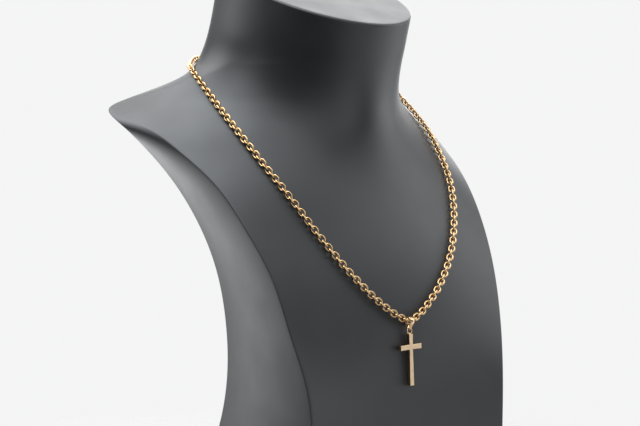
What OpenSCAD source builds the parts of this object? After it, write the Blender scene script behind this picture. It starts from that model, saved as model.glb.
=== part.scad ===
// Cross necklace on a plain neck bust, in millimetres, +Z up, base on z = 0.
// x runs to the viewer's right when the bust is seen from its front, the front
// faces -Y, and the part is centred on the z axis.

/* [Bust] */
// Half width of the neck
neck_half_width = 43.6; // [35:0.1:55]
// Half depth of the neck, front to back
neck_half_depth = 54.5; // [35:0.1:65]
// Height where the neck ends, on its own centre line
neck_top = 234.6; // [215:0.1:260]
// Slope of the neck's cut, down towards the front, in degrees
neck_cut = 21; // [0:1:30]
// How far the neck leans forward for each mm of height
neck_lean = 0.294; // [0:0.001:0.5]
// Sections between two rows of the section table
row_steps = 3; // [1:1:6]
// Steps along half of the front panel
front_steps = 18; // [8:1:40]
// Steps along one side
side_steps = 6; // [4:1:12]
// Steps along half of the back
back_steps = 8; // [4:1:16]

/* [Chain] */
// Thickness of the link wire
wire_d = 0.75; // [0.6:0.05:1.6]
// Outside width of a link
link_width = 3.5; // [2.5:0.1:5]
// Distance from one link to the next along the chain
link_pitch = 2.5; // [2:0.05:4]
// Free play between two link wires
link_play = 0.15; // [0.1:0.01:0.4]
// How far the links roll about the strand, in degrees
link_roll = 42; // [0:1:45]
// Length of strand over which they roll over, from the middle and the nape
roll_run = 40; // [20:1:80]
// Links on each side of the middle link
side_links = 96; // [20:2:110]
// Diameter of the plain clasp at the nape
clasp_d = 3; // [2.5:0.1:5]

/* [Pendant] */
// Height of the cross
cross_height = 24.1; // [15:0.1:40]
// Width across the arms
cross_width = 12.8; // [8:0.1:25]
// Width of the bars seen from the front
bar_width = 2.4; // [1.5:0.1:4]
// Thickness of the bars, front to back
bar_depth = 2; // [1:0.1:4]
// Bevel along the edges of the bars
bar_bevel = 0.15; // [0.1:0.05:0.6]
// From the top of the cross down to the middle of the arms
arm_drop = 6.1; // [4:0.1:10]
// How far the cross hangs out of plumb, in degrees
cross_lean = 2.2; // [0:0.1:5]
// Wire thickness of the ring soldered on the cross
ring_wire = 0.55; // [0.4:0.05:1]
// Inside radius of that ring
ring_inner = 1.1; // [0.8:0.05:2]
// Inside radius of the round opening of the bail
bail_inner = 1.95; // [1.8:0.01:3]
// Inside radius of the bail's narrow lower end
bail_foot = 0.45; // [0.4:0.01:1]
// Metal thickness of the bail
bail_wall = 0.35; // [0.2:0.05:0.8]
// Width of the bail at its widest
bail_width = 2.4; // [1.5:0.1:4]

/* [Hidden] */
$fn = 24;
// pendant plane to part centre
y_shift = -66.6;

// Section rows of the bust, from the base up to the foot of the neck.
// height, crease_x, crease_y, front_y, front_turn, rear_x, rear_y, back_y,
// side_bulge, back_turn, bulge of the neck's foot out of the front panel
body_rows = [
    [0, 58.2, -2.4, -2.2, 15, 57.2, 84.7, 87.5, 4.5, 50, 0],
    [25, 59.3, -1.9, -0.5, 17.7, 51.2, 77.1, 86.5, 4.8, 50, 0],
    [50, 59.8, -1.9, 1.4, 21.3, 49.4, 72.8, 87, 5, 50, 0],
    [75, 65.7, 5.9, 1, 27.1, 51, 71.9, 90, 5, 50, 0],
    [100, 68, 13, 5.7, 37.1, 55.1, 72.9, 96.5, 4.6, 50, 0],
    [122.5, 73.6, 27.6, 13.4, 37, 62.7, 77.1, 106, 3.8, 50, 0],
    [142.5, 77, 43.4, 20.9, 38, 72.8, 83.4, 116, 2.4, 50, 0],
    [157.5, 82.9, 66.5, 29.5, 42, 83.3, 90.6, 123, 1.2, 50, 4.3],
    [168, 85.6, 83.6, 35.8, 46, 92.1, 96.8, 127, 0.4, 50, 8.9],
    [174.5, 90.4, 112.4, 35.7, 44, 90.4, 113.9, 129, 0, 50, 8.7],
    [178, 85.6, 117.8, 34.5, 44, 85.6, 119.3, 130.5, 0, 50, 7.5],
    [182, 75.3, 113.4, 32.6, 50, 75.3, 116.4, 132, 0, 55, 5.8],
    [188, 59.6, 95.5, 29.5, 62, 59.6, 108.5, 133, 0.8, 62, 3.4],
    [196, 47.2, 74.1, 25.4, 70, 47.2, 96.6, 133.5, 2.5, 70, 1]
];
// half width of the neck's foot
foot_width = 46;
neck_side = 70;
neck_from = 197.5;
function neck_y(z) = 74.9 - neck_lean * (z - 210);
function neck_row(z) = [
    z,
    neck_half_width * sin(neck_side),
    neck_y(z) - neck_half_depth * cos(neck_side),
    neck_y(z) - neck_half_depth,
    neck_side,
    neck_half_width * sin(neck_side),
    neck_y(z) + neck_half_depth * cos(neck_side),
    neck_y(z) + neck_half_depth,
    neck_half_width * (1 - sin(neck_side)),
    neck_side,
    0
];
rows = concat(body_rows, [neck_row(207.5), neck_row(220), neck_row(neck_top)]);
last_row = len(rows) - 1;

// Smooth run through the section rows.
function weights(f) = [
    pow(1 - f, 3) / 6,
    (3 * pow(f, 3) - 6 * f * f + 4) / 6,
    (-3 * pow(f, 3) + 3 * f * f + 3 * f + 1) / 6,
    pow(f, 3) / 6
];
function row_at(i) =
    i < 0 ? 2 * rows[0] - rows[1]
    : i > last_row ? 2 * rows[last_row] - rows[last_row - 1]
    : rows[i];
function section(u) =
    let (i = min(floor(u), last_row - 1), w = weights(u - i))
    w[0] * row_at(i - 1) + w[1] * row_at(i)
    + w[2] * row_at(i + 1) + w[3] * row_at(i + 2);

// Points of one section: front panel, side, back.
function front_point(r, t) =
    let (
        x = r[1] * sin(t * r[4]) / sin(r[4]),
        bulge = r[10] * pow(cos(90 * min(1, x / foot_width)), 2)
    )
    [x, r[3] + (r[2] - r[3]) * (1 - cos(t * r[4])) / (1 - cos(r[4])) - bulge];
function side_point(r, t) = [
    r[1] + (r[5] - r[1]) * t + 4 * t * (1 - t) * r[8],
    r[2] + (r[6] - r[2]) * t
];
function back_point(r, t) = [
    r[5] * sin(t * r[9]) / sin(r[9]),
    r[6] + (r[7] - r[6]) * (cos(t * r[9]) - cos(r[9])) / (1 - cos(r[9]))
];
function half_section(r) = concat(
    [for (i = [0 : front_steps]) front_point(r, i / front_steps)],
    [for (i = [1 : side_steps]) side_point(r, i / side_steps)],
    [for (i = [1 : back_steps]) back_point(r, 1 - i / back_steps)]
);
half_count = front_steps + side_steps + back_steps + 1;
ring_count = 2 * (half_count - 1);
function whole_section(r) =
    let (h = half_section(r))
    concat(h, [for (i = [half_count - 2 : -1 : 1]) [-h[i][0], h[i][1]]]);

// The neck's sections turn step by step into the sloping cut.
function cut_share(z) = max(0, (z - neck_from) / (neck_top - neck_from));
function tilted(p, z) =
    let (
        k = cut_share(z) * tan(neck_cut),
        rise = k * (p[1] - neck_y(z)) / (1 + k * neck_lean)
    )
    [p[0], p[1] - neck_lean * rise, z + rise];
ring_steps = last_row * row_steps;
bust_points = [
    for (i = [0 : ring_steps])
        let (r = section(i / row_steps))
        for (p = whole_section(r)) tilted(p, r[0])
];
bust_faces = concat(
    [
        for (i = [0 : ring_steps - 1], j = [0 : ring_count - 1], k = [0, 1])
            let (
                a = i * ring_count + j,
                b = i * ring_count + (j + 1) % ring_count,
                c = a + ring_count,
                d = b + ring_count
            )
            k == 0 ? [a, c, b] : [b, c, d]
    ],
    [[for (j = [ring_count - 1 : -1 : 0]) ring_steps * ring_count + j]],
    [[for (j = [0 : ring_count - 1]) j]]
);

// Route of half the chain, from the middle link round to the nape.
// x, y, z of the link centres, then the way the strand faces there:
// degrees round from the front, degrees up
route = [
    [0, -0.4, 78.3, 0, 5],
    [4.3, -0.1, 80.2, 1, 6],
    [8.5, 0.5, 82.4, 1, 8],
    [13.9, 1.6, 86.3, 2, 10],
    [20, 2.9, 91.3, 3, 12],
    [26.1, 4.9, 97.5, 5, 14],
    [32.4, 7.7, 104.8, 7, 18],
    [38.3, 11.5, 113.2, 9, 21],
    [43.8, 16.5, 122.5, 12, 24],
    [48.4, 22.1, 131.9, 15, 27],
    [52.3, 28.6, 141.1, 19, 31],
    [55.3, 36.3, 149.9, 23, 35],
    [57.5, 44.5, 158.5, 27, 39],
    [59.1, 53.2, 166.8, 33, 42],
    [59.5, 62.5, 174.4, 41, 44],
    [59.1, 72.1, 181.6, 53, 46],
    [58.3, 80.2, 187.4, 65, 47],
    [56.7, 88.5, 192.5, 80, 47],
    [52.9, 97.5, 196, 97, 46],
    [47.1, 105.5, 197.4, 113, 43],
    [40.8, 112.9, 199, 125, 37],
    [33.9, 119.7, 200.4, 137, 29],
    [26.1, 125.8, 201.1, 147, 21],
    [17.1, 130.9, 201.2, 159, 17],
    [6.9, 133.9, 200.8, 172, 15],
    [0, 134.6, 200.6, 180, 14]
];
last_stop = len(route) - 1;
// Straight on at the middle link, mirrored behind the nape.
function behind(p) = [-p[0], p[1], p[2], 360 - p[3], p[4]];
function stop_at(i) =
    i < 0 ? 2 * route[0] - route[1]
    : i > last_stop ? behind(route[2 * last_stop - i])
    : route[i];
function spline(u) =
    let (
        i = min(floor(u), last_stop - 1),
        f = u - i,
        a = stop_at(i - 1),
        b = stop_at(i),
        c = stop_at(i + 1),
        d = stop_at(i + 2)
    )
    b + 0.5 * f * (c - a + f * (2 * a - 5 * b + 4 * c - d
    + f * (3 * (b - c) + d - a)));
function place(u) = let (p = spline(u)) [p[0], p[1], p[2]];
route_steps = 8;
samples = [for (i = [0 : last_stop * route_steps]) place(i / route_steps)];
function lengths(i = 0, s = 0) =
    i >= len(samples) - 1 ? [[s, i / route_steps]]
    : concat(
        [[s, i / route_steps]],
        lengths(i + 1, s + norm(samples[i + 1] - samples[i]))
    );
length_table = lengths();
function along(s) = spline(lookup(abs(s), length_table));
function centre(s) =
    let (p = along(s)) [s < 0 ? -p[0] : p[0], p[1], p[2]];
function unit(v) = v / norm(v);
function facing(s) =
    let (p = along(s), turn = s < 0 ? -p[3] : p[3])
    [sin(turn) * cos(p[4]), -cos(turn) * cos(p[4]), sin(p[4])];

// Middle of the link at distance s, a little inside the strand's bend.
function seat(s) =
    0.75 * centre(s)
    + 0.125 * (centre(s + link_pitch) + centre(s - link_pitch));

// Way the strand runs at distance s.
function heading(s) =
    unit(centre(s + link_pitch) - centre(s - link_pitch));

// Roll of the even links about the strand. The middle link and the last one
// lie flat, and both strands roll the way that keeps the chain untwisted.
end_reach = side_links * link_pitch;
function roll(s) =
    sign(s) * link_roll
    * sin(90 * min(1, abs(s) / roll_run, (end_reach - abs(s)) / roll_run));

link_length = link_pitch + 2 * wire_d + link_play;
bend_r = (link_width - wire_d) / 2;
straight = link_length - link_width;

// The pendant's levels, from the middle link down.
bail_y = seat(0)[1];
bail_z = seat(0)[2];
foot_z = bail_z - 3.2;
ring_r = ring_inner + ring_wire / 2;
ring_z = foot_z - 1.2;
cross_top = ring_z - ring_inner - ring_wire + 0.25;

module bust() {
    color([0.23, 0.23, 0.24])
    translate([0, y_shift, 0])
    polyhedron(points = bust_points, faces = bust_faces, convexity = 6);
}

// One link lying in the xy plane, its length along x.
module link() {
    for (side = [0, 1]) {
        rotate([0, 0, 180 * side])
        translate([straight / 2, 0, 0])
        rotate([0, 0, -90])
        rotate_extrude(angle = 180)
        translate([bend_r, 0])
        circle(d = wire_d);
        translate([-straight / 2, bend_r * (2 * side - 1), 0])
        rotate([0, 90, 0])
        cylinder(d = wire_d, h = straight);
    }
}

// Every second link is turned a quarter turn about the strand.
module placed_link(k) {
    s = k * link_pitch;
    p = seat(s);
    t = heading(s);
    w = unit(cross(facing(s), t));
    v = cross(t, w);
    turn = roll(s) + (k % 2 == 0 ? 0 : 90);
    a = w * cos(turn) - v * sin(turn);
    b = cross(t, a);
    multmatrix([
        [t[0], a[0], b[0], p[0]],
        [t[1], a[1], b[1], p[1]],
        [t[2], a[2], b[2], p[2]]
    ])
    link();
}

module chain() {
    color([0.86, 0.66, 0.32])
    translate([0, y_shift, 0])
    for (k = [-side_links : side_links]) {
        placed_link(k);
    }
}

// Plain bar with an eye at each end, hidden behind the neck.
end_bow = seat(end_reach)
    + heading(end_reach) * (link_length - wire_d) / 2;
eye_x = end_bow[0] + wire_d + link_play - bend_r;
module clasp() {
    color([0.86, 0.66, 0.32])
    translate([0, y_shift + end_bow[1], end_bow[2]])
    union() {
        translate([-eye_x + bend_r, 0, 0])
        rotate([0, 90, 0])
        cylinder(d = clasp_d, h = 2 * (eye_x - bend_r));
        for (side = [-1, 1]) {
            translate([side * eye_x, 0, 0])
            rotate_extrude()
            translate([bend_r, 0])
            circle(d = wire_d);
        }
    }
}

// Drop shape along x: a round upper end, two flat sides and a narrow foot.
module drop(r_top, r_foot, width) {
    gap = bail_z - foot_z;
    a = asin((r_top - r_foot) / gap);
    translate([-width / 2, 0, 0])
    rotate([0, 90, 0])
    cylinder(r = r_top, h = width);
    translate([-width / 2, 0, -gap])
    rotate([0, 90, 0])
    cylinder(r = r_foot, h = width);
    translate([width / 2, 0, 0])
    rotate([0, -90, 0])
    linear_extrude(height = width)
    polygon([
        [-r_top * sin(a), r_top * cos(a)],
        [-gap - r_foot * sin(a), r_foot * cos(a)],
        [-gap - r_foot * sin(a), -r_foot * cos(a)],
        [-r_top * sin(a), -r_top * cos(a)]
    ]);
}

// Outline that narrows the bail towards its foot, seen from the front.
module taper() {
    side = [[1, 3], [1, 0.6], [0.9, -1.2], [0.71, -2.4], [0.46, -3.4], [0.38, -4.4]];
    half = bail_width / 2;
    rotate([90, 0, 0])
    linear_extrude(height = 8, center = true)
    polygon(concat(
        [for (p = side) [half * p[0], p[1]]],
        [for (i = [len(side) - 1 : -1 : 0]) [-half * side[i][0], side[i][1]]]
    ));
}

module bail() {
    color([0.86, 0.66, 0.32])
    translate([0, y_shift + bail_y, bail_z])
    intersection() {
        difference() {
            drop(bail_inner + bail_wall, bail_foot + bail_wall, bail_width);
            drop(bail_inner, bail_foot, bail_width + 2);
        }
        taper();
    }
}

// A bar along z with bevelled edges and ends.
module bar(width, depth, height) {
    e = bar_bevel;
    intersection() {
        linear_extrude(height = height)
        polygon([
            [-width / 2 + e, -depth / 2],
            [width / 2 - e, -depth / 2],
            [width / 2, -depth / 2 + e],
            [width / 2, depth / 2 - e],
            [width / 2 - e, depth / 2],
            [-width / 2 + e, depth / 2],
            [-width / 2, depth / 2 - e],
            [-width / 2, -depth / 2 + e]
        ]);
        translate([-width, 0, 0])
        rotate([90, 0, 90])
        linear_extrude(height = 2 * width)
        polygon([
            [-depth / 2 + e, 0],
            [depth / 2 - e, 0],
            [depth / 2, e],
            [depth / 2, height - e],
            [depth / 2 - e, height],
            [-depth / 2 + e, height],
            [-depth / 2, height - e],
            [-depth / 2, e]
        ]);
    }
}

// The cross and its ring are one piece of soldered metal.
module cross() {
    color([0.9, 0.74, 0.5])
    translate([0, y_shift + bail_y, ring_z])
    rotate([0, -cross_lean, 0])
    translate([0, 0, -ring_z])
    union() {
        translate([0, 0, cross_top - cross_height])
        bar(bar_width, bar_depth, cross_height);
        translate([-cross_width / 2, 0, cross_top - arm_drop])
        rotate([0, 90, 0])
        bar(bar_width, bar_depth, cross_width);
        translate([0, 0, ring_z])
        rotate([90, 0, 0])
        rotate_extrude()
        translate([ring_r, 0])
        circle(d = ring_wire);
    }
}

bust();
chain();
clasp();
bail();
cross();
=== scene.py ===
"""Looks of a cross necklace on a plain neck bust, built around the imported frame.

Lengths are in mm until a mesh is made.
"""
import math

import bpy
import numpy as np
from mathutils import Matrix, Vector


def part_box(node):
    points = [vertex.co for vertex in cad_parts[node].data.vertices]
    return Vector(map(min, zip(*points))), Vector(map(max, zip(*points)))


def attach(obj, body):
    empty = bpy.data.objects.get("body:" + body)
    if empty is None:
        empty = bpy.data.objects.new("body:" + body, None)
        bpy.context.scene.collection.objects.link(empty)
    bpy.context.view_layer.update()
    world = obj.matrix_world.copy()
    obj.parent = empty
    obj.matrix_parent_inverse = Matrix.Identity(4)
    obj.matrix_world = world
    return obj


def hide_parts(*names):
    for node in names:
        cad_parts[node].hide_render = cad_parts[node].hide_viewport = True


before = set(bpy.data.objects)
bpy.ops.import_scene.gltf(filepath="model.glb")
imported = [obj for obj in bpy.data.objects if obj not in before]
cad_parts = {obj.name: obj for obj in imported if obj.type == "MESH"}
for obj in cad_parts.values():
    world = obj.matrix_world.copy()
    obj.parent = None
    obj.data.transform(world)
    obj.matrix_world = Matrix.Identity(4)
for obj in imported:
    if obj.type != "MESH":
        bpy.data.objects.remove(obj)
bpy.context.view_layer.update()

MM = 0.001
Y_SHIFT = -66.6

# Bust, the same rows as in the part's source
# height, crease_x, crease_y, front_y, front_turn, rear_x, rear_y, back_y, side_bulge, back_turn, bulge
BODY_ROWS = [
    [0, 58.2, -2.4, -2.2, 15, 57.2, 84.7, 87.5, 4.5, 50, 0],
    [25, 59.3, -1.9, -0.5, 17.7, 51.2, 77.1, 86.5, 4.8, 50, 0],
    [50, 59.8, -1.9, 1.4, 21.3, 49.4, 72.8, 87, 5, 50, 0],
    [75, 65.7, 5.9, 1, 27.1, 51, 71.9, 90, 5, 50, 0],
    [100, 68, 13, 5.7, 37.1, 55.1, 72.9, 96.5, 4.6, 50, 0],
    [122.5, 73.6, 27.6, 13.4, 37, 62.7, 77.1, 106, 3.8, 50, 0],
    [142.5, 77, 43.4, 20.9, 38, 72.8, 83.4, 116, 2.4, 50, 0],
    [157.5, 82.9, 66.5, 29.5, 42, 83.3, 90.6, 123, 1.2, 50, 4.3],
    [168, 85.6, 83.6, 35.8, 46, 92.1, 96.8, 127, 0.4, 50, 8.9],
    [174.5, 90.4, 112.4, 35.7, 44, 90.4, 113.9, 129, 0, 50, 8.7],
    [178, 85.6, 117.8, 34.5, 44, 85.6, 119.3, 130.5, 0, 50, 7.5],
    [182, 75.3, 113.4, 32.6, 50, 75.3, 116.4, 132, 0, 55, 5.8],
    [188, 59.6, 95.5, 29.5, 62, 59.6, 108.5, 133, 0.8, 62, 3.4],
    [196, 47.2, 74.1, 25.4, 70, 47.2, 96.6, 133.5, 2.5, 70, 1],
]
FOOT_WIDTH = 46
NECK_HALF_WIDTH = 43.6
NECK_HALF_DEPTH = 54.5
NECK_TOP = 234.6
NECK_CUT = math.tan(math.radians(21))
NECK_LEAN = 0.294
NECK_SIDE = 70
NECK_FROM = 197.5
NECK_HEIGHTS = (207.5, 220, NECK_TOP)
CREASE_ROUND = 0.9
# The most of a short side that one crease's rounding takes
CREASE_SHARE = 0.45
RIM_ROUND = 1.1
BASE_ROUND = 1.2
# From this height up, and over this run, the creases melt into the round neck
CREASE_END = 172
MELT_RUN = 14

# How finely the bust is drawn: rings between two rows, points of a curve before it is cut to length,
# and points kept on the front, a side, the back and the two rounded creases
ROW_RINGS = 12
CURVE_POINTS = 121
FRONT_POINTS = 58
SIDE_POINTS = 22
BACK_POINTS = 26
FRONT_CREASE_POINTS = 8
REAR_CREASE_POINTS = 6
ROUNDING = np.radians((15, 30, 45, 60, 75, 90))
# Rings that fill the neck's cut and the base, as shares of their edge
LID_RINGS = (0.96, 0.8, 0.55, 0.3, 0.1)
SOLE_RINGS = (0.1, 0.4, 0.7, 0.96)

# Chain link
WIRE = 0.9
LINK_WIDTH = 3.5
LINK_LENGTH = 4.33
LINK_JITTER = math.radians(3.0)
CLASP_ROUND = 0.45
# Rings that fill the clasp's ends, as shares of its radius
CLASP_END_RINGS = (0.6, 0.2)

# Bail, ring and cross
BAIL_Y = -0.365 + Y_SHIFT
BAIL_Z = 78.547
BAIL_INNER = 1.95
BAIL_FOOT = 0.45
BAIL_WALL = 0.35
BAIL_DROP = 3.2
# Half widths of the strap at heights over the middle of its round end
BAIL_HEIGHTS = (-4.4, -3.4, -2.4, -1.2, 0.6, 3)
BAIL_HALVES = (0.46, 0.55, 0.85, 1.08, 1.18, 1.18)
BAIL_DOME = 0.07
BAIL_EDGE = 0.12
# How the strap's cross-section fills out, across and outward: 1 is an oval, 0 is a box
BAIL_SQUARE = 0.55
BAIL_FLAT = 0.4
# Points of its two bends, of half its path, and round its cross-section
BAIL_FOOT_POINTS = 9
BAIL_TOP_POINTS = 22
BAIL_POINTS = 40
BAIL_SIDES = 20
RING_WIRE = 0.55
RING_RADIUS = 1.375
RING_Z = BAIL_Z - 4.4
CROSS_TOP = RING_Z - 1.4
CROSS_HEIGHT = 24.1
CROSS_WIDTH = 12.8
BAR_WIDTH = 2.4
BAR_DEPTH = 2.0
BAR_BEVEL = 0.14
ARM_DROP = 6.1
CROSS_LEAN = math.radians(2.2)
# Solder between the ring and the cross: its middle over the cross, its share of depth to width,
# and its profile as distances down from that middle and radii
SEAM_LIFT = 0.22
SEAM_DEPTH = 0.8
SEAM_PROFILE = ((-0.3, 0.12), (-0.22, 0.3), (0, 0.42), (0.24, 0.62), (0.3, 0.64))
# Width of the softening of the cross's edges, and the turn between faces from which it is cut
SOFT_EDGE = 0.06
SOFT_FROM = math.radians(35)


def add_mesh(name, points, faces, materials, slots=None, smooth=True):
    """A mesh object from points in mm, in the row frame."""
    mesh = bpy.data.meshes.new(name)
    mesh.from_pydata((np.asarray(points, float) * MM).tolist(), [], faces)
    for material in materials:
        mesh.materials.append(material)
    if slots is not None:
        mesh.polygons.foreach_set("material_index", slots)
    mesh.polygons.foreach_set("use_smooth", [smooth] * len(mesh.polygons))
    mesh.update()
    piece = bpy.data.objects.new(name, mesh)
    bpy.context.scene.collection.objects.link(piece)
    return piece


def seat(piece, node, body):
    """The piece stands for a node, whose part it hides, and rides on its body."""
    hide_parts(node)
    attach(piece, body)


def tube_faces(rings, sides, closed):
    """Quads between rings of points, and round to the first ring if closed."""
    last = rings if closed else rings - 1
    faces = []
    for i in range(last):
        for j in range(sides):
            a = i * sides + j
            b = i * sides + (j + 1) % sides
            c = (i + 1) % rings * sides + (j + 1) % sides
            d = (i + 1) % rings * sides + j
            faces.append((a, b, c, d))
    return faces


# Materials

# The middle range of a noise, where most of its values lie
NOISE_LOW = 0.3
NOISE_HIGH = 0.7


def new_material(name):
    """A material with its tree, its shader and the object's coordinates."""
    material = bpy.data.materials.new(name)
    material.use_nodes = True
    tree = material.node_tree
    shader = tree.nodes["Principled BSDF"]
    place = tree.nodes.new("ShaderNodeTexCoord").outputs["Object"]
    return material, tree, shader, place


def noise(tree, place, scale, detail=3.0, stretch=None):
    """Noise at so many features a metre, stretched along the axes if asked."""
    if stretch is not None:
        mapping = tree.nodes.new("ShaderNodeMapping")
        mapping.inputs["Scale"].default_value = stretch
        tree.links.new(place, mapping.inputs["Vector"])
        place = mapping.outputs["Vector"]
    texture = tree.nodes.new("ShaderNodeTexNoise")
    texture.inputs["Scale"].default_value = scale
    texture.inputs["Detail"].default_value = detail
    tree.links.new(place, texture.inputs["Vector"])
    return texture.outputs["Fac"]


def spread(tree, value, low, high):
    """A noise's middle range spread from low to high."""
    reach = tree.nodes.new("ShaderNodeMapRange")
    reach.inputs["From Min"].default_value = NOISE_LOW
    reach.inputs["From Max"].default_value = NOISE_HIGH
    reach.inputs["To Min"].default_value = low
    reach.inputs["To Max"].default_value = high
    tree.links.new(value, reach.inputs["Value"])
    return reach.outputs["Result"]


def two_tone(tree, value, dark, light):
    """Colours from dark to light by a noise."""
    ramp = tree.nodes.new("ShaderNodeValToRGB")
    ramp.color_ramp.elements[0].position = NOISE_LOW
    ramp.color_ramp.elements[0].color = (*dark, 1)
    ramp.color_ramp.elements[1].position = NOISE_HIGH
    ramp.color_ramp.elements[1].color = (*light, 1)
    tree.links.new(value, ramp.inputs["Fac"])
    return ramp.outputs["Color"]


def bump(tree, shader, height, distance, strength=1.0):
    """Relief of so many metres on the shader's surface."""
    node = tree.nodes.new("ShaderNodeBump")
    node.inputs["Strength"].default_value = strength
    node.inputs["Distance"].default_value = distance
    tree.links.new(height, node.inputs["Height"])
    tree.links.new(node.outputs["Normal"], shader.inputs["Normal"])


def charcoal():
    """Satin charcoal coating of the bust, with a fine grain and faint clouds."""
    material, tree, shader, place = new_material("satin_charcoal")
    clouds = noise(tree, place, 26, 4)
    tree.links.new(two_tone(tree, clouds, (0.0145, 0.0150, 0.0160), (0.0170, 0.0176, 0.0186)),
                   shader.inputs["Base Color"])
    tree.links.new(spread(tree, noise(tree, place, 60, 5), 0.40, 0.46), shader.inputs["Roughness"])
    shader.inputs["Specular IOR Level"].default_value = 0.65
    shader.inputs["Specular Tint"].default_value = (0.89, 0.94, 1.0, 1)
    bump(tree, shader, noise(tree, place, 2600, 2), 0.00001, 0.35)
    return material


def gold(name, dark, light, smooth_end, rough_end, grain=1400, relief=0.000004):
    """Gold-coloured metal with light polishing marks."""
    material, tree, shader, place = new_material(name)
    shader.inputs["Metallic"].default_value = 1.0
    tree.links.new(two_tone(tree, noise(tree, place, 500, 2), dark, light), shader.inputs["Base Color"])
    tree.links.new(spread(tree, noise(tree, place, 900, 4), smooth_end, rough_end),
                   shader.inputs["Roughness"])
    bump(tree, shader, noise(tree, place, grain, 3), relief, 0.5)
    return material


def satin_gold():
    """Pale gold with a fine upright brushing, for the faces of the cross."""
    material, tree, shader, place = new_material("satin_gold")
    shader.inputs["Metallic"].default_value = 1.0
    brushed = noise(tree, place, 3000, 3, (1.0, 1.0, 0.08))
    tree.links.new(two_tone(tree, noise(tree, place, 700, 4), (0.75, 0.565, 0.37), (0.85, 0.66, 0.45)),
                   shader.inputs["Base Color"])
    tree.links.new(spread(tree, brushed, 0.34, 0.46), shader.inputs["Roughness"])
    bump(tree, shader, brushed, 0.000006, 0.6)
    return material


CHARCOAL = charcoal()
CHAIN_GOLD = gold("chain_gold", (0.57, 0.39, 0.195), (0.64, 0.445, 0.24), 0.05, 0.12)
BAIL_GOLD = gold("bail_gold", (0.62, 0.43, 0.24), (0.68, 0.48, 0.28), 0.08, 0.15)
EDGE_GOLD = gold("edge_gold", (0.66, 0.45, 0.27), (0.72, 0.51, 0.32), 0.10, 0.16)
FACE_GOLD = satin_gold()


# Bust


def neck_y(height):
    """Middle of the neck's section at a height."""
    return 74.9 - NECK_LEAN * (height - 210)


def neck_row(height):
    """The neck's section as a row like those of the body."""
    turn = math.radians(NECK_SIDE)
    wide = NECK_HALF_WIDTH * math.sin(turn)
    deep = NECK_HALF_DEPTH * math.cos(turn)
    middle = neck_y(height)
    return [height, wide, middle - deep, middle - NECK_HALF_DEPTH, NECK_SIDE,
            wide, middle + deep, middle + NECK_HALF_DEPTH, NECK_HALF_WIDTH - wide, NECK_SIDE, 0]


ROWS = np.array(BODY_ROWS + [neck_row(height) for height in NECK_HEIGHTS], float)


def row_at(i):
    """A row, or the straight run past either end."""
    if i < 0:
        return 2 * ROWS[0] - ROWS[1]
    if i >= len(ROWS):
        return 2 * ROWS[-1] - ROWS[-2]
    return ROWS[i]


def section(u):
    """Smooth blend of the rows at u."""
    i = min(int(u), len(ROWS) - 2)
    f = u - i
    weights = ((1 - f) ** 3, 3 * f ** 3 - 6 * f * f + 4, -3 * f ** 3 + 3 * f * f + 3 * f + 1, f ** 3)
    return sum(w / 6 * row_at(i - 1 + k) for k, w in enumerate(weights))


def stretch_of(line, start, stop, count):
    """Evenly spaced points of a line between two distances along it."""
    run = np.r_[0, np.cumsum(np.linalg.norm(np.diff(line, axis=0), axis=1))]
    at = np.linspace(start, run[-1] - stop, count)
    return np.stack([np.interp(at, run, line[:, k]) for k in (0, 1)], axis=1)


def round_corner(a, corner, b, count):
    """Points of a rounded corner between two ends."""
    t = np.linspace(0, 1, count + 2)[1:-1, None]
    return (1 - t) ** 2 * a + 2 * t * (1 - t) * corner + t ** 2 * b


def half_section(row):
    """Half of a section, from the middle of the front to the middle of the back.

    Where the crease melts, the side bulges so that it runs on smoothly from the front.
    """
    height, crease_x, crease_y, front_y, front_turn = row[:5]
    rear_x, rear_y, back_y, side_bulge, back_turn, bulge = row[5:]
    t = np.linspace(0, 1, CURVE_POINTS)
    turn = math.radians(front_turn)
    front = np.stack([
        crease_x * np.sin(t * turn) / math.sin(turn),
        front_y + (crease_y - front_y) * (1 - np.cos(t * turn)) / (1 - math.cos(turn)),
    ], axis=1)
    front[:, 1] -= bulge * np.cos(math.pi / 2 * np.minimum(1, front[:, 0] / FOOT_WIDTH)) ** 2
    melt = min(1, max(0, (height - CREASE_END) / MELT_RUN))
    melt *= melt * (3 - 2 * melt)
    flare = crease_x / math.tan(turn) * (1 - math.cos(turn)) / (math.sin(turn) * (crease_y - front_y))
    smooth_bulge = (flare * (rear_y - crease_y) - (rear_x - crease_x)) / 4
    side_bulge += melt * (smooth_bulge - side_bulge)
    side = np.stack([
        crease_x + (rear_x - crease_x) * t + 4 * t * (1 - t) * side_bulge,
        crease_y + (rear_y - crease_y) * t,
    ], axis=1)
    turn = math.radians(back_turn)
    t = t[::-1]
    back = np.stack([
        rear_x * np.sin(t * turn) / math.sin(turn),
        rear_y + (back_y - rear_y) * (np.cos(t * turn) - math.cos(turn)) / (1 - math.cos(turn)),
    ], axis=1)
    side_length = np.linalg.norm(np.diff(side, axis=0), axis=1).sum()
    cut = min(CREASE_ROUND, CREASE_SHARE * side_length)
    front = stretch_of(front, 0, CREASE_ROUND, FRONT_POINTS)
    inner = stretch_of(side, cut, cut, SIDE_POINTS)
    back = stretch_of(back, CREASE_ROUND, 0, BACK_POINTS)
    return np.concatenate([
        front, round_corner(front[-1], side[0], inner[0], FRONT_CREASE_POINTS),
        inner, round_corner(inner[-1], side[-1], back[0], REAR_CREASE_POINTS), back,
    ])


def tilted(points, height):
    """A level section leant towards the neck's sloping cut."""
    share = max(0, (height - NECK_FROM) / (NECK_TOP - NECK_FROM))
    slope = share * NECK_CUT
    rise = slope * (points[:, 1] - neck_y(height)) / (1 + slope * NECK_LEAN)
    return np.stack([points[:, 0], points[:, 1] - NECK_LEAN * rise, height + rise], axis=1)


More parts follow.
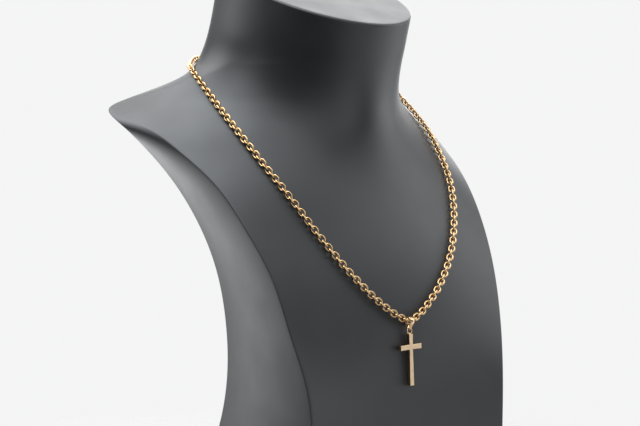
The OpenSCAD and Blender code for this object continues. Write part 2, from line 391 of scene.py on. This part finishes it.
def shrunk(ring, inset, drop):
    """A ring drawn in towards its middle and moved along the neck's or the base's axis."""
    middle = (ring.max(0) + ring.min(0)) / 2
    reach = np.linalg.norm(ring - middle, axis=1)[:, None]
    return middle + (ring - middle) * (1 - inset / reach) + np.asarray(drop)


def make_bust():
    """Whole skin of the bust, with rounded creases, rim and base."""
    rings = []
    for i in range((len(ROWS) - 1) * ROW_RINGS + 1):
        row = section(i / ROW_RINGS)
        half = half_section(row)
        ring = np.concatenate([half, (half * (-1, 1))[-2:0:-1]])
        rings.append(tilted(ring, row[0]))
    lean = np.array((0, -NECK_LEAN, 1)) / math.hypot(NECK_LEAN, 1)
    top = rings[-1]
    wall = [r for r in rings[:-1] if ((top - r) @ lean).min() > RIM_ROUND]
    rim = [shrunk(top, 0, -RIM_ROUND * lean)]
    for b in ROUNDING:
        rim.append(shrunk(top, RIM_ROUND * (1 - math.cos(b)), RIM_ROUND * (math.sin(b) - 1) * lean))
    edge = rim[-1]
    middle = (edge.max(0) + edge.min(0)) / 2
    lid = [middle + (edge - middle) * k for k in LID_RINGS]
    base = wall[0]
    foot = [shrunk(base, BASE_ROUND * (1 - math.cos(b)), (0, 0, 0)) for b in ROUNDING[::-1]]
    lift = [BASE_ROUND * (1 - math.sin(b)) for b in ROUNDING[::-1]]
    foot = [ring * (1, 1, 0) + (0, 0, z) for ring, z in zip(foot, lift)]
    wall = [r for r in wall if r[:, 2].min() > BASE_ROUND]
    sole_middle = (foot[0].max(0) + foot[0].min(0)) / 2
    sole = [sole_middle + (foot[0] - sole_middle) * k for k in SOLE_RINGS]
    rings = sole + foot + wall + rim + lid
    count = len(rings[0])
    points = np.concatenate(rings) + (0, Y_SHIFT, 0)
    faces = tube_faces(len(rings), count, False)
    faces.append(tuple(range(count - 1, -1, -1)))
    faces.append(tuple(range((len(rings) - 1) * count, len(rings) * count)))
    return add_mesh("bust_skin", points, faces, [CHARCOAL])


# Chain


def link_shape(around=36, sides=12):
    """One link along x in its own xy plane, as rings of a round wire."""
    bend = (LINK_WIDTH - WIRE) / 2
    straight = LINK_LENGTH - LINK_WIDTH
    per_bend = (around - 4) // 2
    rings = []
    for side in (1, -1):
        for k in range(per_bend + 1):
            a = math.pi * (k / per_bend - 0.5)
            out = np.array((math.cos(a), math.sin(a), 0)) * side
            rings.append((out * bend + (side * straight / 2, 0, 0), out))
        rings.append((out * bend, out))
    angles = np.linspace(0, 2 * math.pi, sides, endpoint=False)
    points = []
    for middle, out in rings:
        for a in angles:
            points.append(middle + WIRE / 2 * (math.cos(a) * out + math.sin(a) * np.array((0, 0, 1))))
    return np.array(points), tube_faces(len(rings), sides, True)


def islands(mesh):
    """Triangles of each loose part of a mesh, as points in mm."""
    points = np.array([v.co for v in mesh.vertices]) / MM
    _, merged = np.unique(np.round(points, 3), axis=0, return_inverse=True)
    merged = merged.ravel()
    mesh.calc_loop_triangles()
    triangles = np.array([t.vertices for t in mesh.loop_triangles])
    corners = merged[triangles]
    label = np.arange(merged.max() + 1)
    while True:
        low = label[corners].min(1)
        fresh = label.copy()
        for k in range(3):
            np.minimum.at(fresh, corners[:, k], low)
        fresh = fresh[fresh]
        if (fresh == label).all():
            break
        label = fresh
    owner = label[corners[:, 0]]
    return [points[triangles[owner == k]] for k in np.unique(owner)]


def link_frame(triangles):
    """Middle and axes of a link: along it, across it, and out of its plane."""
    a, b, c = triangles[:, 0], triangles[:, 1], triangles[:, 2]
    areas = np.linalg.norm(np.cross(b - a, c - a), axis=1)
    middle = (areas[:, None] * (a + b + c) / 3).sum(0) / areas.sum()
    arms = (a - middle, b - middle, c - middle, a + b + c - 3 * middle)
    _, axes = np.linalg.eigh(sum(np.einsum("n,ni,nj->ij", areas, arm, arm) for arm in arms))
    along, across = axes[:, 2], axes[:, 1]
    return middle, along, across, np.cross(along, across)


def make_chain():
    """Every link of the frame's chain again, with a fine round wire."""
    shape, link_faces = link_shape()
    draw = np.random.default_rng(7)
    points, faces = [], []
    for triangles in islands(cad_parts["chain"].data):
        middle, along, across, out = link_frame(triangles)
        turn = draw.uniform(-LINK_JITTER, LINK_JITTER)
        axes = np.array((
            along,
            math.cos(turn) * across + math.sin(turn) * out,
            math.cos(turn) * out - math.sin(turn) * across,
        ))
        start = len(points) * len(shape)
        points.append(shape @ axes + middle)
        faces += [tuple(start + k for k in face) for face in link_faces]
    return add_mesh("chain_links", np.concatenate(points), faces, [CHAIN_GOLD])


# Clasp


def lathe(profile, sides=40):
    """Rings round the x axis from (x, radius) pairs."""
    angles = np.linspace(0, 2 * math.pi, sides, endpoint=False)
    return [np.stack([np.full(sides, x), r * np.cos(angles), r * np.sin(angles)], axis=1) for x, r in profile]


def torus(middle, radius, wire, axis, around=56, sides=16):
    """Points and faces of a ring of round wire, its hole along an axis."""
    axis = Vector(axis)
    first = axis.orthogonal().normalized()
    second = axis.cross(first)
    points = []
    for a in np.linspace(0, 2 * math.pi, around, endpoint=False):
        out = first * math.cos(a) + second * math.sin(a)
        for b in np.linspace(0, 2 * math.pi, sides, endpoint=False):
            at = Vector(middle) + out * (radius + wire / 2 * math.cos(b)) + axis * (wire / 2 * math.sin(b))
            points.append(at)
    return np.array(points), tube_faces(around, sides, True)


def joined(parts):
    """Several (points, faces) as one."""
    points, faces, start = [], [], 0
    for part_points, part_faces in parts:
        points.append(part_points)
        faces += [tuple(start + k for k in face) for face in part_faces]
        start += len(part_points)
    return np.concatenate(points), faces


def make_clasp():
    """Plain barrel with softened ends and an eye at each end."""
    low, high = (np.array(corner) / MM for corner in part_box("clasp"))
    middle = (low + high) / 2
    eye = (LINK_WIDTH - WIRE) / 2
    eye_x = high[0] - middle[0] - eye - WIRE / 2
    radius = (high[2] - low[2]) / 2
    half = eye_x - eye
    right = []
    for a in np.radians((0, 18, 36, 54, 72, 90)):
        right.append((half - CLASP_ROUND * (1 - math.sin(a)), radius - CLASP_ROUND * (1 - math.cos(a))))
    right += [(half, radius * share) for share in CLASP_END_RINGS]
    rings = lathe([(-x, r) for x, r in right[::-1]] + right)
    sides = len(rings[0])
    faces = tube_faces(len(rings), sides, False)
    faces.append(tuple(range(sides - 1, -1, -1)))
    faces.append(tuple(range((len(rings) - 1) * sides, len(rings) * sides)))
    parts = [(np.concatenate(rings), faces)]
    for side in (-1, 1):
        parts.append(torus((side * eye_x, 0, 0), eye, WIRE, (0, 0, 1)))
    points, faces = joined(parts)
    return add_mesh("clasp_bar", points + middle, faces, [CHAIN_GOLD])


# Bail


def bail_path(count):
    """Middle line of the bail's strap in its own plane, with its outward way, from the foot round."""
    top = BAIL_INNER + BAIL_WALL / 2
    foot = BAIL_FOOT + BAIL_WALL / 2
    lean = math.asin((top - foot) / BAIL_DROP)
    foot_turns = np.linspace(-math.pi / 2, -lean, BAIL_FOOT_POINTS)
    top_turns = np.linspace(-lean, math.pi / 2, BAIL_TOP_POINTS)
    foot_ways = np.stack([np.cos(foot_turns), np.sin(foot_turns)], axis=1)
    top_ways = np.stack([np.cos(top_turns), np.sin(top_turns)], axis=1)
    ways = np.concatenate([foot_ways, top_ways])
    line = np.concatenate([foot_ways * foot - (0, BAIL_DROP), top_ways * top])
    run = np.r_[0, np.cumsum(np.linalg.norm(np.diff(line, axis=0), axis=1))]
    at = np.linspace(0, run[-1], count)
    line = np.stack([np.interp(at, run, line[:, k]) for k in (0, 1)], axis=1)
    ways = np.stack([np.interp(at, run, ways[:, k]) for k in (0, 1)], axis=1)
    ways /= np.linalg.norm(ways, axis=1)[:, None]
    mirror = (-1, 1)
    return np.concatenate([line, (line * mirror)[-2:0:-1]]), np.concatenate([ways, (ways * mirror)[-2:0:-1]])


def make_bail():
    """A strap bent to a drop, wide over the chain and narrow at its foot, with a domed outside."""
    line, ways = bail_path(BAIL_POINTS)
    points = []
    for (y, z), (out_y, out_z) in zip(line, ways):
        half = np.interp(z, BAIL_HEIGHTS, BAIL_HALVES)
        for k in range(BAIL_SIDES):
            a = 2 * math.pi * k / BAIL_SIDES
            x = half * np.sign(math.cos(a)) * abs(math.cos(a)) ** BAIL_SQUARE
            rise = math.sin(a)
            if rise >= 0:
                thick = (BAIL_WALL / 2 - BAIL_EDGE * (abs(x) / half) ** 4) * rise ** BAIL_FLAT
            else:
                thick = -(BAIL_WALL / 2) * (-rise) ** BAIL_FLAT
            if rise > 0:
                thick -= BAIL_DOME * (abs(x) / half) ** 2
            points.append((x, y + out_y * thick, z + out_z * thick))
    faces = tube_faces(len(line), BAIL_SIDES, True)
    return add_mesh("bail_strap", np.array(points) + (0, BAIL_Y, BAIL_Z), faces, [BAIL_GOLD])


# Cross


def cross_outline(inset):
    """Outline of the cross drawn in by inset, as x and z, from its lower end round."""
    half = BAR_WIDTH / 2 - inset
    arm = CROSS_WIDTH / 2 - inset
    top = CROSS_TOP - inset
    low = CROSS_TOP - CROSS_HEIGHT + inset
    arm_z = CROSS_TOP - ARM_DROP
    right = [(half, low), (half, arm_z - half), (arm, arm_z - half),
             (arm, arm_z + half), (half, arm_z + half), (half, top)]
    return right + [(-x, z) for x, z in right[::-1]]


def make_cross():
    """Bevelled cross with satin faces, polished sides and bevels, and its soldered ring."""
    edge_slot, face_slot, ring_slot = range(3)
    corners = len(cross_outline(0))
    deep = BAR_DEPTH / 2
    levels = ((-deep, BAR_BEVEL), (-deep + BAR_BEVEL, 0), (deep - BAR_BEVEL, 0), (deep, BAR_BEVEL))
    points = []
    for y, inset in levels:
        points += [(x, y, z) for x, z in cross_outline(inset)]
    faces = tube_faces(len(levels), corners, False)
    slots = [edge_slot] * len(faces)
    # Foot, middle, head and the two arms, as corners of the outline
    quads = ((0, 1, 10, 11), (1, 4, 7, 10), (4, 5, 6, 7), (1, 2, 3, 4), (7, 8, 9, 10))
    for first, way in ((0, 1), ((len(levels) - 1) * corners, -1)):
        for quad in quads:
            faces.append(tuple(first + k for k in quad[::way]))
            slots.append(face_slot)
    flat_faces = len(faces)
    ring = torus((0, 0, RING_Z), RING_RADIUS, RING_WIRE, (0, 1, 0))
    seam_sides = 24
    seam = np.concatenate(lathe(SEAM_PROFILE, seam_sides))[:, (1, 2, 0)]
    seam = seam * (1, SEAM_DEPTH, -1) + (0, 0, CROSS_TOP + SEAM_LIFT)
    seam_faces = [face[::-1] for face in tube_faces(len(SEAM_PROFILE), seam_sides, False)]
    all_points, all_faces = joined([(np.array(points), faces), ring, (seam, seam_faces)])
    slots += [ring_slot] * (len(all_faces) - len(slots))
    hang = np.array(Matrix.Rotation(-CROSS_LEAN, 3, "Y"))
    all_points = (all_points - (0, 0, RING_Z)) @ hang.T + (0, BAIL_Y, RING_Z)
    cross = add_mesh("cross_and_ring", all_points, all_faces,
                     [EDGE_GOLD, FACE_GOLD, BAIL_GOLD], slots, smooth=False)
    for polygon in cross.data.polygons[flat_faces:]:
        polygon.use_smooth = True
    soft = cross.modifiers.new("soft_edges", "BEVEL")
    soft.width = SOFT_EDGE * MM
    soft.segments = 2
    soft.limit_method = "ANGLE"
    soft.angle_limit = SOFT_FROM
    return cross


seat(make_bust(), "bust", "stand")
seat(make_chain(), "chain", "stand")
seat(make_clasp(), "clasp", "stand")
seat(make_bail(), "bail", "bail")
seat(make_cross(), "cross", "cross")


# Stage: floor, light and camera

CAMERA_PLACE = Vector((-680.84, -755.645 + Y_SHIFT, 182.73)) * MM
CAMERA_AZIMUTH = math.radians(-39.702)
CAMERA_ELEVATION = math.radians(3.045)
LENS = 124.14
SENSOR = 36
# Brightness of the backdrop, and how much less of it is red and green
BACKDROP = 0.915
BACKDROP_TINT = 0.995
FLOOR_REACH = 4000
FLOOR_TONE = (0.4, 0.4, 0.402, 1)
# Metres from the middle where the floor starts to fade, and where it is gone
FLOOR_NEAR = 0.12
FLOOR_FAR = 0.24
# Soft patches of sky, each as wide as the radius in degrees: degrees round from +X, degrees up, strength
SKY_PATCHES = (
    (90, -42, 5.0),
    (135, -42, 1.0),
    (-45, -42, 1.5),
    (0, -12, 1.0),
    (90, -12, 0.5),
    (120, -12, 2.5),
    (-90, -12, 1.0),
    (-30, -12, 1.0),
    (45, 15, 3.0),
    (-15, 15, 1.5),
    (-105, 15, 1.0),
    (36, 42, 1.5),
    (72, 42, 1.0),
    (108, 42, 3.0),
    (180, 42, 3.0),
    (-144, 42, 1.0),
    (-36, 42, 2.5),
    (108, 72, 4.0),
    (180, 72, 2.0),
    (-108, 72, 2.0),
)
PATCH_RADIUS = 30


def make_floor():
    """A pale floor that fades into the backdrop away from the bust."""
    corners = [(x * FLOOR_REACH, y * FLOOR_REACH, 0) for x, y in ((-1, -1), (1, -1), (1, 1), (-1, 1))]
    material, tree, shader, place = new_material("pale_floor")
    shader.inputs["Base Color"].default_value = FLOOR_TONE
    shader.inputs["Roughness"].default_value = 0.9
    far = tree.nodes.new("ShaderNodeBsdfTransparent")
    length = tree.nodes.new("ShaderNodeVectorMath")
    length.operation = "LENGTH"
    tree.links.new(place, length.inputs[0])
    fade = tree.nodes.new("ShaderNodeMapRange")
    fade.interpolation_type = "SMOOTHSTEP"
    fade.inputs["From Min"].default_value = FLOOR_NEAR
    fade.inputs["From Max"].default_value = FLOOR_FAR
    tree.links.new(length.outputs["Value"], fade.inputs["Value"])
    blend = tree.nodes.new("ShaderNodeMixShader")
    tree.links.new(fade.outputs["Result"], blend.inputs["Fac"])
    tree.links.new(shader.outputs["BSDF"], blend.inputs[1])
    tree.links.new(far.outputs["BSDF"], blend.inputs[2])
    tree.links.new(blend.outputs["Shader"], tree.nodes["Material Output"].inputs["Surface"])
    floor = add_mesh("pale_floor", corners, [(0, 1, 2, 3)], [material], smooth=False)


def make_surround():
    """A pale backdrop for the camera, and soft patches of sky that light everything."""
    world = bpy.data.worlds.new("studio_tent")
    bpy.context.scene.world = world
    world.use_nodes = True
    tree = world.node_tree
    background = tree.nodes["Background"]
    direction = tree.nodes.new("ShaderNodeTexCoord").outputs["Generated"]
    total = None
    for azimuth, elevation, strength in SKY_PATCHES:
        turn, rise = math.radians(azimuth), math.radians(elevation)
        towards = tree.nodes.new("ShaderNodeVectorMath")
        towards.operation = "DOT_PRODUCT"
        towards.inputs[1].default_value = (
            math.cos(rise) * math.cos(turn), math.cos(rise) * math.sin(turn), math.sin(rise))
        tree.links.new(direction, towards.inputs[0])
        patch = tree.nodes.new("ShaderNodeMapRange")
        patch.interpolation_type = "SMOOTHSTEP"
        patch.inputs["From Min"].default_value = math.cos(math.radians(PATCH_RADIUS))
        patch.inputs["From Max"].default_value = 1
        patch.inputs["To Max"].default_value = strength
        tree.links.new(towards.outputs["Value"], patch.inputs["Value"])
        if total is None:
            total = patch.outputs["Result"]
        else:
            add = tree.nodes.new("ShaderNodeMath")
            add.operation = "ADD"
            tree.links.new(total, add.inputs[0])
            tree.links.new(patch.outputs["Result"], add.inputs[1])
            total = add.outputs["Value"]
    seen = tree.nodes.new("ShaderNodeLightPath").outputs["Is Camera Ray"]
    mix = tree.nodes.new("ShaderNodeMix")
    mix.data_type = "RGBA"
    tree.links.new(seen, mix.inputs["Factor"])
    tree.links.new(total, mix.inputs["A"])
    mix.inputs["B"].default_value = (BACKDROP * BACKDROP_TINT, BACKDROP * BACKDROP_TINT, BACKDROP, 1)
    tree.links.new(mix.outputs["Result"], background.inputs["Color"])
    background.inputs["Strength"].default_value = 1.0


def make_camera():
    """The photo's view."""
    data = bpy.data.cameras.new("photo_view")
    data.lens = LENS
    data.sensor_width = SENSOR
    data.clip_start = 0.05
    data.clip_end = 50
    camera = bpy.data.objects.new("photo_view", data)
    back = Vector((
        math.sin(CAMERA_AZIMUTH) * math.cos(CAMERA_ELEVATION),
        -math.cos(CAMERA_AZIMUTH) * math.cos(CAMERA_ELEVATION),
        math.sin(CAMERA_ELEVATION),
    ))
    camera.location = CAMERA_PLACE
    camera.rotation_mode = "QUATERNION"
    camera.rotation_quaternion = (-back).to_track_quat("-Z", "Y")
    bpy.context.scene.collection.objects.link(camera)
    bpy.context.scene.camera = camera


make_floor()
make_surround()
make_camera()
bpy.context.scene.view_settings.view_transform = "Standard"
